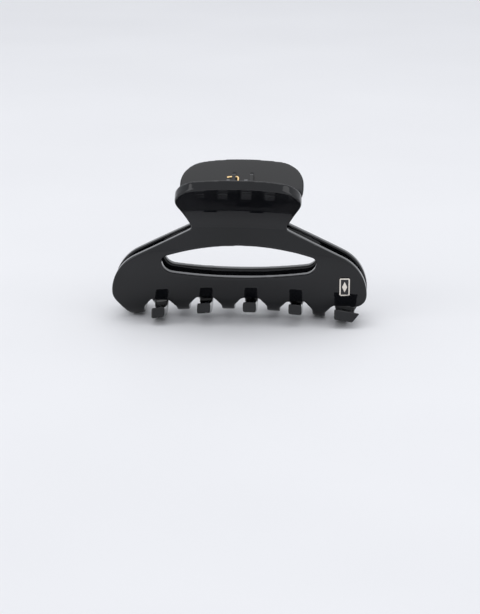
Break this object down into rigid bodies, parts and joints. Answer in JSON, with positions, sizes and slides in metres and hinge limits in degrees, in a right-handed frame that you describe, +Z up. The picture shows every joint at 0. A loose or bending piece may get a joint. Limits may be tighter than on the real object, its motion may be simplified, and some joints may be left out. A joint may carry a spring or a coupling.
{
  "type": "claw clip",
  "caption": "Sprung claw hair clip in glossy black acetate: interlocking curved teeth, long windows, flared finger plates and a small metal badge.",
  "frame": {"origin": "on the ground under the middle of the clip, which stands on its four outer teeth", "axes": "+X along the clip, front jaw with the badge on the -Y side, +Z up to the finger plates"},
  "size_m": [0.1, 0.044, 0.0594],
  "materials": {
    "acetate": "gloss",
    "enamel": "gloss",
    "brass": "satin",
    "spring_wire": "satin",
    "badge_metal": "polished",
    "badge_inlay": "polished"
  },
  "bodies": {
    "front_body": {"front_jaw": "acetate", "front_lug_left": "acetate", "front_lug_right": "acetate", "hinge_pin": "brass", "pin_washer": "brass", "spring_coil": "spring_wire", "front_spring_leg": "spring_wire", "badge_plate": "badge_metal", "badge_lozenge": "badge_inlay", "badge_enamel": "enamel", "badge_studs": "badge_metal"},
    "rear_body": {"rear_jaw": "acetate", "rear_lug_left": "acetate", "rear_lug_right": "acetate", "rear_spring_leg": "spring_wire"}
  },
  "joints": [
    {"name": "jaw_hinge", "type": "hinge", "parent": "front_body", "child": "rear_body", "pos_m": [0, 0, 0.05], "axis": [1, 0, 0], "range_deg": [0, 50], "stiffness_Nm_per_rad": 0.08, "springref_deg": -34.38, "deforming": ["spring_coil"]}
  ]
}
